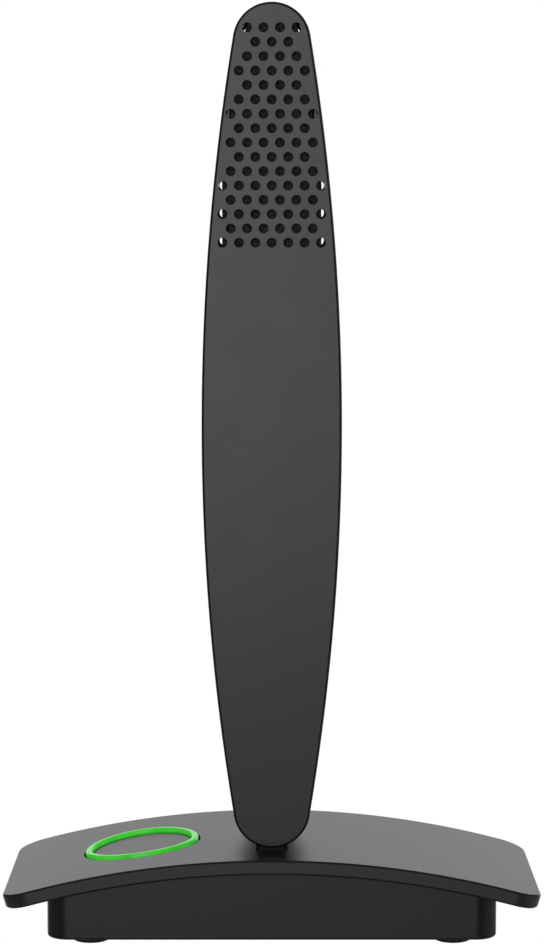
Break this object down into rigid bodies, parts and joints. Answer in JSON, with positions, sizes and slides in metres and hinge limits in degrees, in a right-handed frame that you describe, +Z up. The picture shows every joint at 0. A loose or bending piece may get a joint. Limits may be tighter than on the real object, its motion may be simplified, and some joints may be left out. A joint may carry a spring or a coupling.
{
  "type": "usb microphone",
  "caption": "Desk USB microphone: a slim upright perforated head on a short neck, over an arched metal base plate with a round ring-lit mute button.",
  "frame": {"origin": "on the table surface, under the middle of the base plate", "axes": "+Z up, +X to the user's right, +Y away from the user, who looks at the front face along +Y"},
  "size_m": [0.1338, 0.0602, 0.2314],
  "materials": {
    "black_shell": "fine satin texture, near black",
    "black_plate": "satin black powder coat on steel",
    "black_tray": "fine matt moulding texture",
    "black_foam": "open-cell acoustic foam",
    "black_rubber": "matt soft rubber",
    "green_light": "translucent light ring, lit green",
    "steel": "plain zinc-plated steel",
    "capsule_metal": "drawn aluminium can",
    "green_board": "solder-masked circuit board",
    "chip": "black epoxy",
    "white_part": "white nylon",
    "lead": "black lead jacket"
  },
  "bodies": {
    "base": {"head_front_shell": "black_shell", "head_rear_shell": "black_shell", "front_acoustic_foam": "black_foam", "rear_acoustic_foam": "black_foam", "mic_capsule": "capsule_metal", "capsule_cradle": "black_rubber", "head_board": "green_board", "preamp_chip": "chip", "head_board_connector": "white_part", "head_board_screw_1": "steel", "head_board_screw_2": "steel", "head_shell_screw_1": "steel", "head_shell_screw_2": "steel", "head_shell_screw_3": "steel", "head_shell_screw_4": "steel", "neck_block": "black_shell", "neck_screw_1": "steel", "neck_screw_2": "steel", "neck_foot_screw_1": "steel", "neck_foot_screw_2": "steel", "neck_foot_screw_3": "steel", "neck_foot_screw_4": "steel", "base_plate": "black_plate", "base_tray": "black_tray", "front_left_foot": "black_rubber", "front_right_foot": "black_rubber", "back_left_foot": "black_rubber", "back_right_foot": "black_rubber", "base_screw_1": "steel", "base_screw_2": "steel", "base_screw_3": "steel", "base_screw_4": "steel", "ballast_plate": "steel", "main_board": "green_board", "audio_chip": "chip", "usb_chip": "chip", "main_board_connector": "white_part", "main_board_screw_1": "steel", "main_board_screw_2": "steel", "usb_socket": "steel", "usb_tongue": "chip", "switch_body": "chip", "button_board": "green_board", "button_board_screw_1": "steel", "button_board_screw_2": "steel", "button_board_screw_3": "steel", "ring_light_1": "white_part", "ring_light_2": "white_part", "ring_light_3": "white_part", "ring_light_4": "white_part", "ring_light_5": "white_part", "ring_light_6": "white_part", "head_lead": "lead", "button_lead": "lead"},
    "mute_button": {"button_cap": "black_plate", "light_ring": "green_light", "switch_plunger": "white_part"}
  },
  "joints": [
    {"name": "mute_press", "type": "slide", "parent": "base", "child": "mute_button", "axis": [0.1401, 0, -0.9901], "range_m": [0, 0.0008], "stiffness_N_per_m": 800, "springref_m": -0.0008}
  ]
}
